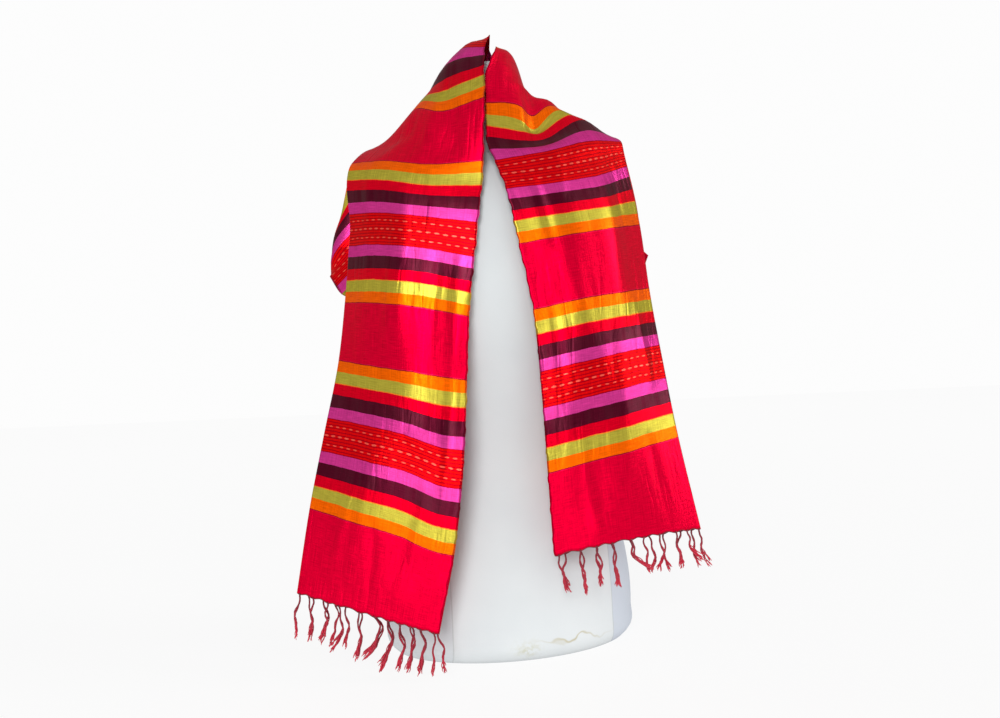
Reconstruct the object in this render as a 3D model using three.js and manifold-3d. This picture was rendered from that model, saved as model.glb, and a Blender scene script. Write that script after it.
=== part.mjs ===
// A striped wrap scarf worn over a limbless dress form.
// Millimetres, +Z up. The form's front faces -Y, turned a little towards +X, and it stands on z = 0.
//
// The scarf is one woven strip. s runs along it, from the hem of the left end (0) to the hem of the
// right end (SCARF_LENGTH). w runs across it, from the neck selvedge (0) to the under selvedge
// (2 * HALF_WIDTH). In front the strip is folded lengthwise at w = HALF_WIDTH, with the under half
// behind the shown half. Over the shoulders it opens, and the under half hangs down the back.

import * as THREE from 'three';
import { mergeVertices } from 'three/addons/utils/BufferGeometryUtils.js';
import Module from 'manifold-3d';

const wasm = await Module();
wasm.setup();

// ---- driving sizes -------------------------------------------------------------------------------

const SCARF_LENGTH = 1580;      // woven length without the fringe
const HALF_WIDTH = 195;         // from a selvedge to the lengthwise fold
const CLOTH = 1.5;              // wall thickness of the cloth
const FOLD_RADIUS = 3.6;        // middle of the wall round the lengthwise fold
const SELVEDGE_SPACE = 0.5;     // layer spacing at the selvedges, as a share of that at the fold
const SEAM_GAP = 0.5;           // between two stretches
const NAPE_GAP = 0.9;           // the same where s is crowded round the nape
const SIDE_GAP = 1.2;           // the same where a side piece meets a shoulder tip
const EASE = 4;                 // from the form's surface to the middle of the cloth
const EASE_BLEND = 5;           // how softly the cloth leaves the form
const LAYER_FADE = 60;          // length over which the two layers part
const HIDDEN_SHARE = 0.8;       // where the under half ends behind the fold once it has left it
const TIP_INSET = 2.5;          // the lengthwise fold's inset at a shoulder tip
const ROOT_SHARE = 0.08;        // top of a side piece below the fold
const SIDE_BLEND = 40;          // length over which a side piece joins the hanging part
const FOLD_ENDS = 0.3;          // each end of a fold, as a share of its length

const LEFT_TIP = 606;           // s where the fold passes over the left shoulder tip
const NAPE_START = 790;
const NAPE_END = 902;
const RIGHT_TIP = 1078;         // s where the fold passes over the right shoulder tip
const SIDE_LEFT_START = 463;    // s where the under half leaves the fold
const SIDE_RIGHT_END = 1215;

const STRIP_HEIGHT = 3.4;       // woven strip that carries a fringe
const STRAND_RADIUS = 1.2;
const STRAND_SIDES = 3;
const STRAND_STEPS = 5;
const STRAND_TIP = 0.6;         // radius at the tip, as a share
const STRAND_LEAN = 1.5;        // how far the two layers' tips lean apart

const FORM_TURN = THREE.MathUtils.degToRad(12);
const FORM_FACETS = 40;
const FORM_CAP = 1.5;           // rise of the top's middle

const FRONT_STEP = 28;          // spacing of the wall's sections
const SHOULDER_STEP = 11;
const SHOWN_PARTS = 13;         // facets across the shown half
const UNDER_PARTS = 7;          // across the under half behind the shown one
const HANGING_PARTS = 8;        // across the under half where it hangs free
const TURN_STEPS = 4;           // round the lengthwise fold
const TRAIL_STEPS = 60;         // along a curve that is measured
const WELD = 1e-4;              // vertices this close are one

// ---- tables --------------------------------------------------------------------------------------

// Half-breadth and depths of the form's level sections, in its own unturned frame.
const formSections = [
  { z: 0, half: 157, front: 105, back: 107 },
  { z: 7, half: 164, front: 112, back: 114 },
  { z: 40, half: 168, front: 116, back: 118 },
  { z: 110, half: 164, front: 111, back: 117 },
  { z: 200, half: 141, front: 96, back: 98 },
  { z: 270, half: 127, front: 90, back: 86 },
  { z: 350, half: 134, front: 100, back: 88 },
  { z: 430, half: 147, front: 112, back: 94 },
  { z: 480, half: 151, front: 113, back: 99 },
  { z: 540, half: 153, front: 103, back: 104 },
  { z: 590, half: 158, front: 88, back: 101 },
  { z: 628, half: 161, front: 68, back: 90 },
  { z: 648, half: 155, front: 55, back: 79 },
  { z: 664, half: 137, front: 46, back: 69 },
  { z: 684, half: 108, front: 42, back: 60 },
  { z: 704, half: 84, front: 40, back: 53 },
  { z: 722, half: 64, front: 38, back: 47 },
  { z: 738, half: 49, front: 35, back: 43 },
  { z: 752, half: 41, front: 33, back: 40 },
  { z: 768, half: 35, front: 29, back: 35 },
  { z: 779, half: 26, front: 22, back: 27 },
  { z: 785, half: 13, front: 11, back: 14 },
];

// Sections of the shown half: where it lies at four places between the selvedge and the fold.
const shownSections = [
  { s: 0, selvedge: [-87, -165, 55], inner: [-146, -156, 71], outer: [-205, -143, 87], fold: [-263, -128, 103] },
  { s: 110, selvedge: [-65, -160, 152], inner: [-126, -154, 172], outer: [-186, -139, 190], fold: [-245, -118, 206] },
  { s: 214, selvedge: [-50, -150, 253], inner: [-112, -149, 271], outer: [-171, -130, 285], fold: [-227, -100, 295] },
  { s: 318, selvedge: [-41, -139, 356], inner: [-104, -142, 368], outer: [-161, -116, 378], fold: [-209, -75, 387] },
  { s: 398, selvedge: [-35, -132, 434], inner: [-100, -134, 449], outer: [-156, -103, 458], fold: [-201, -55, 463] },
  { s: 502, selvedge: [-22, -116, 529], inner: [-88, -115, 542], outer: [-146, -86, 553], fold: [-193, -38, 559] },
  { s: 606, selvedge: [-10, -91, 632], inner: [-77, -84, 632], outer: [-138, -57, 645], fold: [-189, -14, 653] },
  { s: 646, selvedge: [-8, -83, 675], inner: [-75, -64, 673], outer: [-134, -12, 683], fold: [-167, 20, 679] },
  { s: 686, selvedge: [-5, -74, 719], inner: [-59, -54, 709], outer: [-102, -8, 724], fold: [-140, 50, 674] },
  { s: 732, selvedge: [-4, -53, 766], inner: [-57, -25, 758], outer: [-88, 28, 750], fold: [-104, 74, 688] },
  { s: 752, selvedge: [-3, -40, 785], inner: [-50, -16, 785], outer: [-81, 36, 751], fold: [-90, 82, 687] },
  { s: 767, selvedge: [-2, -28, 799], inner: [-38, 4, 806], outer: [-62, 48, 754], fold: [-78, 88, 686] },
  { s: 778, selvedge: [1, -21, 809], inner: [-25, 13, 818], outer: [-53, 57, 760], fold: [-66, 94, 686] },
  { s: 790, selvedge: [5, -12, 820], inner: [-12, 28, 817], outer: [-40, 64, 758], fold: [-54, 99, 686] },
  { s: 812, selvedge: [4, 10, 810], inner: [-8, 46, 794], outer: [-24, 78, 742], fold: [-33, 106, 680] },
  { s: 846, selvedge: [9, 31, 802], inner: [8, 60, 766], outer: [5, 84, 712], fold: [6, 111, 648] },
  { s: 880, selvedge: [13, -3, 807], inner: [27, 24, 805], outer: [36, 72, 728], fold: [46, 104, 664] },
  { s: 902, selvedge: [11, -24, 795], inner: [33, 8, 799], outer: [50, 58, 740], fold: [70, 94, 679] },
  { s: 938, selvedge: [-3, -46, 757], inner: [36, -22, 753], outer: [66, 30, 730], fold: [106, 78, 673] },
  { s: 956, selvedge: [-4, -51, 738], inner: [44, -26, 742], outer: [78, 8, 737], fold: [120, 64, 672] },
  { s: 974, selvedge: [-5, -57, 715], inner: [48, -38, 717], outer: [90, -2, 722], fold: [134, 50, 671] },
  { s: 1000, selvedge: [-5, -66, 688], inner: [60, -42, 684], outer: [110, -4, 710], fold: [148, 38, 674] },
  { s: 1026, selvedge: [-5, -75, 662], inner: [62, -56, 660], outer: [137, -3, 696], fold: [165, 23, 682] },
  { s: 1052, selvedge: [3, -90, 635], inner: [68, -80, 645], outer: [130, -40, 666], fold: [178, 2, 672] },
  { s: 1078, selvedge: [11, -102, 612], inner: [75, -92, 620], outer: [131, -54, 636], fold: [181, -5, 654] },
  { s: 1182, selvedge: [29, -122, 522], inner: [97, -113, 532], outer: [153, -74, 543], fold: [197, -22, 553] },
  { s: 1262, selvedge: [43, -129, 438], inner: [107, -122, 450], outer: [160, -88, 458], fold: [203, -40, 465] },
  { s: 1366, selvedge: [49, -135, 340], inner: [111, -132, 352], outer: [166, -104, 362], fold: [213, -62, 368] },
  { s: 1470, selvedge: [52, -139, 239], inner: [114, -138, 252], outer: [172, -117, 263], fold: [225, -82, 271] },
  { s: 1580, selvedge: [55, -142, 137], inner: [120, -143, 149], outer: [184, -128, 155], fold: [245, -100, 155] },
];

// Sections of the under half behind the shoulders: halfway down, and at its selvedge.
const backSections = [
  { s: 606, middle: [-214, 38, 570], selvedge: [-214, 90, 478] },
  { s: 646, middle: [-188, 72, 586], selvedge: [-190, 112, 486] },
  { s: 686, middle: [-156, 100, 582], selvedge: [-160, 126, 488] },
  { s: 732, middle: [-116, 116, 592], selvedge: [-120, 138, 496] },
  { s: 767, middle: [-87, 124, 592], selvedge: [-88, 142, 495] },
  { s: 790, middle: [-60, 128, 588], selvedge: [-64, 144, 488] },
  { s: 846, middle: [3, 134, 554], selvedge: [-1, 146, 460] },
  { s: 902, middle: [72, 126, 582], selvedge: [64, 142, 484] },
  { s: 938, middle: [108, 112, 578], selvedge: [98, 134, 484] },
  { s: 974, middle: [142, 92, 576], selvedge: [134, 120, 484] },
  { s: 1026, middle: [182, 58, 582], selvedge: [178, 90, 486] },
  { s: 1078, middle: [202, 26, 566], selvedge: [206, 52, 480] },
];

// Sections of the under half beside the left shoulder, from behind the fold to its selvedge.
const leftSideSections = [
  { s: 463, root: [-150, -6, 536], middle: [-184, -8, 504], selvedge: [-213, -2, 478] },
  { s: 479, root: [-156, -2, 548], middle: [-190, -4, 516], selvedge: [-220, 6, 490] },
  { s: 502, root: [-162, 2, 566], middle: [-200, 2, 528], selvedge: [-230, 16, 504] },
  { s: 525, root: [-166, 4, 588], middle: [-225, 10, 529], selvedge: [-233, 36, 504] },
  { s: 541, root: [-168, 5, 604], middle: [-223, 12, 547], selvedge: [-232, 52, 498] },
  { s: 570, root: [-174, 4, 630], middle: [-220, 18, 568], selvedge: [-227, 70, 486] },
  { s: 606, root: [-186, 4, 648], middle: [-214, 38, 570], selvedge: [-214, 90, 478] },
];

// The same beside the right shoulder, where less of it has dropped out.
const rightSideSections = [
  { s: 1078, root: [176, 12, 650], middle: [202, 26, 566], selvedge: [206, 52, 480] },
  { s: 1120, root: [170, 12, 624], middle: [197, 16, 560], selvedge: [207, 32, 488] },
  { s: 1160, root: [164, 8, 594], middle: [192, 8, 546], selvedge: [206, 14, 500] },
  { s: 1215, root: [156, 2, 552], middle: [186, 0, 534], selvedge: [209, 0, 513] },
];

// Largest folds of the shown half: how far each moves the cloth out from the form and up.
const shownFolds = [
  { from: 20, to: 260, w: 60, spread: 26, depth: -4, lift: 0 },
  { from: 300, to: 620, w: 92, spread: 16, depth: 4, lift: 0 },
  { from: 600, to: 700, w: 46, spread: 20, depth: -5, lift: 0 },
  { from: 940, to: 1012, w: 72, spread: 20, depth: -6, lift: -16 },
  { from: 1060, to: 1330, w: 118, spread: 24, depth: 4, lift: 0 },
  { from: 1330, to: 1570, w: 60, spread: 24, depth: -4, lift: 0 },
];

// Flutes of the under half behind the shoulders, deepest at its selvedge.
const backFlutes = [
  { s: 668, spread: 24, depth: -9 },
  { s: 728, spread: 26, depth: 8 },
  { s: 800, spread: 30, depth: -12 },
  { s: 868, spread: 28, depth: 9 },
  { s: 940, spread: 28, depth: -10 },
  { s: 1010, spread: 26, depth: 7 },
];

// Fringe strands: where each leaves the hem, how far it falls, and how its path strays sideways.
const leftStrands = [
  { w: 2, drop: 46, drift: 5, bow: 3, layer: 'under' },
  { w: 7, drop: 49, drift: -4, bow: 2, layer: 'shown' },
  { w: 24, drop: 52, drift: -4, bow: 3, layer: 'both' },
  { w: 37, drop: 54, drift: -7, bow: 3, layer: 'both' },
  { w: 52, drop: 56, drift: -4, bow: 4, layer: 'both' },
  { w: 67, drop: 58, drift: -12, bow: 4, layer: 'both' },
  { w: 86, drop: 50, drift: -15, bow: 9, layer: 'both' },
  { w: 106, drop: 57, drift: -7, bow: 2, layer: 'both' },
  { w: 127, drop: 50, drift: -4, bow: 2, layer: 'under' },
  { w: 135, drop: 53, drift: -12, bow: 8, layer: 'shown' },
  { w: 143, drop: 52, drift: -7, bow: 3, layer: 'under' },
  { w: 150, drop: 42, drift: -8, bow: 1, layer: 'shown' },
  { w: 159, drop: 54, drift: -7, bow: 4, layer: 'under' },
  { w: 171, drop: 48, drift: -7, bow: 1, layer: 'shown' },
  { w: 182, drop: 57, drift: 0, bow: 5, layer: 'under' },
  { w: 190, drop: 53, drift: -7, bow: -3, layer: 'shown' },
];
const rightStrands = [
  { w: 6, drop: 44, drift: 7, bow: 2, layer: 'shown' },
  { w: 14, drop: 46, drift: 4, bow: -4, layer: 'under' },
  { w: 32, drop: 52, drift: 5, bow: 2, layer: 'both' },
  { w: 52, drop: 47, drift: 4, bow: 2, layer: 'both' },
  { w: 71, drop: 54, drift: 6, bow: 2, layer: 'both' },
  { w: 95, drop: 38, drift: 24, bow: -3, layer: 'both' },
  { w: 112, drop: 42, drift: 3, bow: 0, layer: 'shown' },
  { w: 119, drop: 45, drift: 3, bow: 8, layer: 'under' },
  { w: 132, drop: 43, drift: -4, bow: 5, layer: 'shown' },
  { w: 142, drop: 47, drift: 6, bow: -3, layer: 'under' },
  { w: 155, drop: 44, drift: 4, bow: 3, layer: 'shown' },
  { w: 167, drop: 45, drift: 2, bow: -2, layer: 'under' },
  { w: 173, drop: 36, drift: 17, bow: -3, layer: 'shown' },
  { w: 185, drop: 46, drift: 8, bow: -2, layer: 'under' },
  { w: 191, drop: 45, drift: 13, bow: -3, layer: 'shown' },
];

// ---- curves --------------------------------------------------------------------------------------

// Smooth value through numbers at uneven stations.
function smoothThrough(stations, values, at) {
  const last = stations.length - 1;
  const slope = (i) => {
    if (i === 0) return (values[1] - values[0]) / (stations[1] - stations[0]);
    if (i === last) return (values[last] - values[last - 1]) / (stations[last] - stations[last - 1]);
    const before = stations[i] - stations[i - 1];
    const after = stations[i + 1] - stations[i];
    const rise = (values[i] - values[i - 1]) / before;
    const nextRise = (values[i + 1] - values[i]) / after;
    return (rise * after + nextRise * before) / (before + after);
  };
  if (at < stations[0]) return values[0] + slope(0) * (at - stations[0]);
  if (at > stations[last]) return values[last] + slope(last) * (at - stations[last]);
  let i = 0;
  while (i < last - 1 && at > stations[i + 1]) i += 1;
  const span = stations[i + 1] - stations[i];
  const t = (at - stations[i]) / span;
  const start = (2 * t ** 3 - 3 * t ** 2 + 1) * values[i] + (t ** 3 - 2 * t ** 2 + t) * span * slope(i);
  const end = (-2 * t ** 3 + 3 * t ** 2) * values[i + 1] + (t ** 3 - t ** 2) * span * slope(i + 1);
  return start + end;
}

// A place in one column of a table, at s.
function columnAt(rows, column, s) {
  const stations = rows.map((row) => row.s);
  const axis = (k) => smoothThrough(stations, rows.map((row) => row[column][k]), s);
  return new THREE.Vector3(axis(0), axis(1), axis(2));
}

// Points at even shares of the length of a smooth curve through the given places.
function spreadAlong(places, shares) {
  const knots = [0];
  for (let i = 1; i < places.length; i += 1) knots.push(knots[i - 1] + places[i].distanceTo(places[i - 1]));
  const trail = [];
  for (let k = 0; k <= TRAIL_STEPS; k += 1) {
    const at = (knots[knots.length - 1] * k) / TRAIL_STEPS;
    const axis = (name) => smoothThrough(knots, places.map((place) => place[name]), at);
    trail.push(new THREE.Vector3(axis('x'), axis('y'), axis('z')));
  }
  const length = [0];
  for (let k = 1; k <= TRAIL_STEPS; k += 1) length.push(length[k - 1] + trail[k].distanceTo(trail[k - 1]));
  return shares.map((share) => {
    const wanted = share * length[TRAIL_STEPS];
    let k = 1;
    while (k < TRAIL_STEPS && length[k] < wanted) k += 1;
    const part = (wanted - length[k - 1]) / (length[k] - length[k - 1]);
    return trail[k - 1].clone().lerp(trail[k], part);
  });
}

function inParts(from, to, count) {
  return Array.from({ length: count + 1 }, (_, i) => from + ((to - from) * i) / count);
}

const evenly = (from, to, step) => inParts(from, to, Math.max(1, Math.round((to - from) / step)));

const bump = (distance, spread) => Math.exp(-((distance / spread) ** 2));

function fadeBetween(value, from, to) {
  const t = THREE.MathUtils.clamp((value - from) / (to - from), 0, 1);
  return t * t * (3 - 2 * t);
}

// ---- dress form ----------------------------------------------------------------------------------

function formSectionAt(z) {
  const stations = formSections.map((row) => row.z);
  const value = (name) => smoothThrough(stations, formSections.map((row) => row[name]), z);
  return { half: value('half'), front: value('front'), back: value('back') };
}

function dressForm() {
  const heights = formSections.map((row) => row.z);
  const positions = [0, 0, 0];
  for (const row of formSections) {
    for (let k = 0; k < FORM_FACETS; k += 1) {
      const angle = (2 * Math.PI * k) / FORM_FACETS;
      const depth = Math.sin(angle) < 0 ? row.front : row.back;
      positions.push(row.half * Math.cos(angle), depth * Math.sin(angle), row.z);
    }
  }
  positions.push(0, 0, heights[heights.length - 1] + FORM_CAP);
  const top = positions.length / 3 - 1;
  const ring = (i, k) => 1 + i * FORM_FACETS + (k % FORM_FACETS);
  const faces = [];
  for (let k = 0; k < FORM_FACETS; k += 1) {
    faces.push(0, ring(0, k + 1), ring(0, k));
    faces.push(top, ring(formSections.length - 1, k), ring(formSections.length - 1, k + 1));
    for (let i = 0; i < formSections.length - 1; i += 1) {
      faces.push(ring(i, k), ring(i, k + 1), ring(i + 1, k + 1));
      faces.push(ring(i, k), ring(i + 1, k + 1), ring(i + 1, k));
    }
  }
  return geometryFrom(positions, faces);
}

// Moves a point of the cloth out until it clears the form by the given ease.
function clearOfForm(point, ease) {
  const top = formSections[formSections.length - 1].z;
  if (point.z > top) return point;
  const up = new THREE.Vector3(0, 0, 1);
  const local = point.clone().applyAxisAngle(up, -FORM_TURN);
  const section = formSectionAt(local.z);
  const depth = local.y < 0 ? section.front : section.back;
  const reach = Math.hypot(local.x / section.half, local.y / depth);
  const radius = Math.hypot(local.x, local.y);
  const wanted = radius / reach + ease;
  const over = radius - wanted;
  const softened = wanted + (over + Math.hypot(over, EASE_BLEND)) / 2;
  local.x *= softened / radius;
  local.y *= softened / radius;
  return local.applyAxisAngle(up, FORM_TURN);
}

// ---- cloth ---------------------------------------------------------------------------------------

function geometryFrom(positions, faces) {
  const geometry = new THREE.BufferGeometry();
  geometry.setAttribute('position', new THREE.Float32BufferAttribute(positions, 3));
  geometry.setIndex(faces);
  return geometry;
}

// Unit normals along a row of the cloth, on the side that shows.
function normalsAt(rowAt, s) {
  const row = rowAt(s);
  const before = rowAt(s - 1);
  const after = rowAt(s + 1);
  return row.map((_, j) => {
    const along = after[j].clone().sub(before[j]);
    const across = row[Math.min(j + 1, row.length - 1)].clone().sub(row[Math.max(j - 1, 0)]);
    return along.cross(across).normalize();
  });
}

// Moves a point of the shown half by the folds that reach it.
function folded(point, s, w) {
  for (const fold of shownFolds) {
    const ends = (fold.to - fold.from) * FOLD_ENDS;
    const along = fadeBetween(s, fold.from, fold.from + ends) * (1 - fadeBetween(s, fold.to - ends, fold.to));
    const share = along * bump(w - fold.w, fold.spread);
    movedOut(point, fold.depth * share);
    point.z += fold.lift * share;
  }
  return point;
}

function movedOut(point, distance) {
  return point.addScaledVector(new THREE.Vector3(point.x, point.y, 0).normalize(), distance);
}

// How much the two layers in front need beyond the ease of one layer.
function layersAt(s) {
  const left = 1 - fadeBetween(s, LEFT_TIP - LAYER_FADE, LEFT_TIP);
  const right = fadeBetween(s, RIGHT_TIP, RIGHT_TIP + LAYER_FADE);
  return Math.max(left, right);
}

// The shown half at s.
function shownRow(s, shares) {
  const places = ['selvedge', 'inner', 'outer', 'fold'].map((name) => columnAt(shownSections, name, s));
  const ease = EASE + 2 * FOLD_RADIUS * layersAt(s);
  return spreadAlong(places, shares).map((point, j) => {
    return clearOfForm(folded(point, s, shares[j] * HALF_WIDTH), ease);
  });
}

// A front end: the shown half, round the lengthwise fold, and back behind itself.
function foldedRow(s) {
  const edgeShare = 1 - (FOLD_RADIUS + TIP_INSET * (1 - layersAt(s))) / HALF_WIDTH;
  const leaving = Math.max(
    fadeBetween(s, SIDE_LEFT_START - LAYER_FADE, SIDE_LEFT_START) * (s < NAPE_START ? 1 : 0),
    (1 - fadeBetween(s, SIDE_RIGHT_END, SIDE_RIGHT_END + LAYER_FADE)) * (s > NAPE_START ? 1 : 0),
  );
  const shares = inParts(0, edgeShare, SHOWN_PARTS);
  const underShares = inParts(HIDDEN_SHARE * leaving, edgeShare, UNDER_PARTS).reverse();
  const shown = shownRow(s, shares);
  const behind = shownRow(s, underShares);
  const edge = shown[shown.length - 1];
  const out = normalsAt((at) => shownRow(at, shares), s)[shown.length - 1];
  const behindNormals = normalsAt((at) => shownRow(at, underShares), s).map((normal) => normal.negate());
  const sideways = edge.clone().sub(shown[shown.length - 2]).normalize();
  const centre = edge.clone().addScaledVector(out, -FOLD_RADIUS);
  const turn = [];
  for (let k = 1; k < TURN_STEPS; k += 1) {
    const angle = (Math.PI * k) / TURN_STEPS;
    const point = centre.clone().addScaledVector(out, FOLD_RADIUS * Math.cos(angle));
    turn.push(point.addScaledVector(sideways, FOLD_RADIUS * Math.sin(angle)));
  }
  const under = behind.map((point, j) => {
    const spacing = 2 * FOLD_RADIUS * THREE.MathUtils.lerp(SELVEDGE_SPACE, 1, underShares[j]);
    return point.clone().addScaledVector(behindNormals[j], -spacing);
  });
  return [...shown, ...turn, ...under];
}

// A stretch over the shoulders or round the nape, opened to the full width.
function openRow(s) {
  const shown = shownRow(s, inParts(0, 1, SHOWN_PARTS));
  const fold = shown[shown.length - 1];
  const places = [fold, columnAt(backSections, 'middle', s), columnAt(backSections, 'selvedge', s)];
  const shares = inParts(0, 1, HANGING_PARTS);
  const flute = backFlutes.reduce((sum, row) => sum + row.depth * bump(s - row.s, row.spread), 0);
  const under = spreadAlong(places, shares).map((point, j) => {
    return clearOfForm(movedOut(point, flute * fadeBetween(shares[j], 0, 1)), EASE);
  });
  return [...shown, ...under.slice(1)];
}

// The under half beside a shoulder, which joins the hanging part of the open stretch at its tip.
function sideRow(rows, tip, s) {
  const shares = inParts(0, 1, HANGING_PARTS);
  const places = ['root', 'middle', 'selvedge'].map((name) => columnAt(rows, name, s));
  const own = spreadAlong(places, shares);
  const hanging = openRow(s).slice(-shares.length);
  const fromRoot = spreadAlong(hanging, shares.map((share) => THREE.MathUtils.lerp(ROOT_SHARE, 1, share)));
  const joined = 1 - fadeBetween(Math.abs(s - tip), 0, SIDE_BLEND);
  return own.map((point, j) => clearOfForm(point.lerp(fromRoot[j], joined), EASE));
}

// Closed wall of even thickness about the rows of the cloth.
function clothWall(rowAt, stations) {
  const side = (sign) => stations.map((s) => {
    const normals = normalsAt(rowAt, s);
    return rowAt(s).map((point, j) => point.clone().addScaledVector(normals[j], (sign * CLOTH) / 2));
  });
  const outer = side(1);
  const inner = side(-1);
  const rows = outer.length;
  const columns = outer[0].length;
  const positions = [...outer.flat(), ...inner.flat()].flatMap((p) => [p.x, p.y, p.z]);
  const out = (i, j) => i * columns + j;
  const back = (i, j) => rows * columns + i * columns + j;
  const faces = [];
  const quad = (a, b, c, d) => faces.push(a, b, c, a, c, d);
  for (let i = 0; i < rows - 1; i += 1) {
    for (let j = 0; j < columns - 1; j += 1) {
      quad(out(i, j), out(i + 1, j), out(i + 1, j + 1), out(i, j + 1));
      quad(back(i, j), back(i, j + 1), back(i + 1, j + 1), back(i + 1, j));
    }
    quad(out(i, 0), back(i, 0), back(i + 1, 0), out(i + 1, 0));
    quad(out(i, columns - 1), out(i + 1, columns - 1), back(i + 1, columns - 1), back(i, columns - 1));
  }
  for (let j = 0; j < columns - 1; j += 1) {
    quad(out(0, j), out(0, j + 1), back(0, j + 1), back(0, j));
    quad(out(rows - 1, j), back(rows - 1, j), back(rows - 1, j + 1), out(rows - 1, j + 1));
  }
  return geometryFrom(positions, faces);
}

// ---- fringe --------------------------------------------------------------------------------------

function solidFrom(geometry) {
  const merged = mergeVertices(geometry, WELD);
  return new wasm.Manifold(new wasm.Mesh({
    numProp: 3,
    vertProperties: new Float32Array(merged.attributes.position.array),
    triVerts: new Uint32Array(merged.index.array),
  }));
}

function geometryFromSolid(solid) {
  const mesh = solid.getMesh();
  return geometryFrom(Array.from(mesh.vertProperties), Array.from(mesh.triVerts));
}

// One strand, hanging from its root with a soft sideways stray.
function strand(root, row, sign) {
  const path = [];
  for (let k = 0; k <= STRAND_STEPS; k += 1) {
    const t = k / STRAND_STEPS;
    const stray = row.drift * t + row.bow * Math.sin(Math.PI * t);
    path.push(root.clone().add(new THREE.Vector3(stray, sign * STRAND_LEAN * t, -row.drop * t)));
  }
  const positions = [];
  path.forEach((p, k) => {
    const radius = STRAND_RADIUS * (k === STRAND_STEPS ? STRAND_TIP : 1);
    for (let side = 0; side < STRAND_SIDES; side += 1) {
      const angle = (2 * Math.PI * side) / STRAND_SIDES - Math.PI / 2;
      positions.push(p.x + radius * Math.cos(angle), p.y + radius * Math.sin(angle), p.z);
    }
  });
  const at = (k, side) => k * STRAND_SIDES + (side % STRAND_SIDES);
  const faces = [at(0, 0), at(0, 1), at(0, 2), at(STRAND_STEPS, 0), at(STRAND_STEPS, 2), at(STRAND_STEPS, 1)];
  for (let k = 0; k < STRAND_STEPS; k += 1) {
    for (let side = 0; side < STRAND_SIDES; side += 1) {
      faces.push(at(k, side), at(k + 1, side), at(k + 1, side + 1));
      faces.push(at(k, side), at(k + 1, side + 1), at(k, side + 1));
    }
  }
  return geometryFrom(positions, faces);
}

// A hem strip with its strands fused to it.
function fringe(from, to, strands) {
  let solid = solidFrom(clothWall(foldedRow, [from, to]));
  const middle = foldedRow((from + to) / 2);
  const shown = middle.slice(0, SHOWN_PARTS + 1);
  const under = middle.slice(-(UNDER_PARTS + 1)).reverse();
  for (const row of strands) {
    const share = row.w / HALF_WIDTH;
    if (row.layer !== 'under') solid = solid.add(solidFrom(strand(spreadAlong(shown, [share])[0], row, -1)));
    if (row.layer !== 'shown') solid = solid.add(solidFrom(strand(spreadAlong(under, [share])[0], row, 1)));
  }
  return geometryFromSolid(solid);
}

// ---- object --------------------------------------------------------------------------------------

const crimson = { color: 0xd4102f, roughness: 0.42, metalness: 0 };
const thread = { color: 0xc81f3a, roughness: 0.6, metalness: 0 };
const coveredForm = { color: 0xefece8, roughness: 0.85, metalness: 0 };

const group = new THREE.Group();

function add(name, geometry, finish) {
  const mesh = new THREE.Mesh(geometry, new THREE.MeshStandardMaterial(finish));
  mesh.name = name;
  group.add(mesh);
  return mesh;
}

const half = SEAM_GAP / 2;
const hemLine = STRIP_HEIGHT + SEAM_GAP;

const leftEnd = evenly(hemLine, LEFT_TIP - half, FRONT_STEP);
const leftShoulder = evenly(LEFT_TIP + half, NAPE_START - NAPE_GAP / 2, SHOULDER_STEP);
const nape = evenly(NAPE_START + NAPE_GAP / 2, NAPE_END - NAPE_GAP / 2, SHOULDER_STEP);
const rightShoulder = evenly(NAPE_END + NAPE_GAP / 2, RIGHT_TIP - half, SHOULDER_STEP);
const rightEnd = evenly(RIGHT_TIP + half, SCARF_LENGTH - hemLine, FRONT_STEP);
const leftSide = evenly(SIDE_LEFT_START, LEFT_TIP - SIDE_GAP + half, SHOULDER_STEP);
const rightSide = evenly(RIGHT_TIP + SIDE_GAP - half, SIDE_RIGHT_END, SHOULDER_STEP);

add('scarf_front_left', clothWall(foldedRow, leftEnd), crimson);
add('scarf_shoulder_left', clothWall(openRow, leftShoulder), crimson);
add('scarf_nape_back', clothWall(openRow, nape), crimson);
add('scarf_shoulder_right', clothWall(openRow, rightShoulder), crimson);
add('scarf_front_right', clothWall(foldedRow, rightEnd), crimson);
add('scarf_side_left', clothWall((s) => sideRow(leftSideSections, LEFT_TIP, s), leftSide), crimson);
add('scarf_side_right', clothWall((s) => sideRow(rightSideSections, RIGHT_TIP, s), rightSide), crimson);
add('fringe_left', fringe(0, STRIP_HEIGHT, leftStrands), thread);
add('fringe_right', fringe(SCARF_LENGTH - STRIP_HEIGHT, SCARF_LENGTH, rightStrands), thread);
add('dress_form', dressForm(), coveredForm).rotation.z = FORM_TURN;

export default group;
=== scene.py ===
import math
import random

import bpy
import numpy as np
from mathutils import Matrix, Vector


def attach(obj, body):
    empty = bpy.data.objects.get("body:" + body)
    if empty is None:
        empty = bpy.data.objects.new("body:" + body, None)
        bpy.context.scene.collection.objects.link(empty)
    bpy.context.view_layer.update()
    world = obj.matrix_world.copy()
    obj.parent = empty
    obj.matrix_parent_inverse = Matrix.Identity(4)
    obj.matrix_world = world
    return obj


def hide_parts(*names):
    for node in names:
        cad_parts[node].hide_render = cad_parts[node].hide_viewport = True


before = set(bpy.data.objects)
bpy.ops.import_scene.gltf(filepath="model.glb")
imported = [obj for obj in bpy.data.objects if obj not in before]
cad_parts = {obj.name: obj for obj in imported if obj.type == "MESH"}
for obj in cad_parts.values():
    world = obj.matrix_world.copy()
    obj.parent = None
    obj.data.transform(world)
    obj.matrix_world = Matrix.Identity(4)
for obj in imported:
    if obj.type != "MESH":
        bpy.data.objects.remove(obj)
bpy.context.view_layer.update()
print("frame loaded:", len(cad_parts), "nodes")

mm = 0.001


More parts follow.
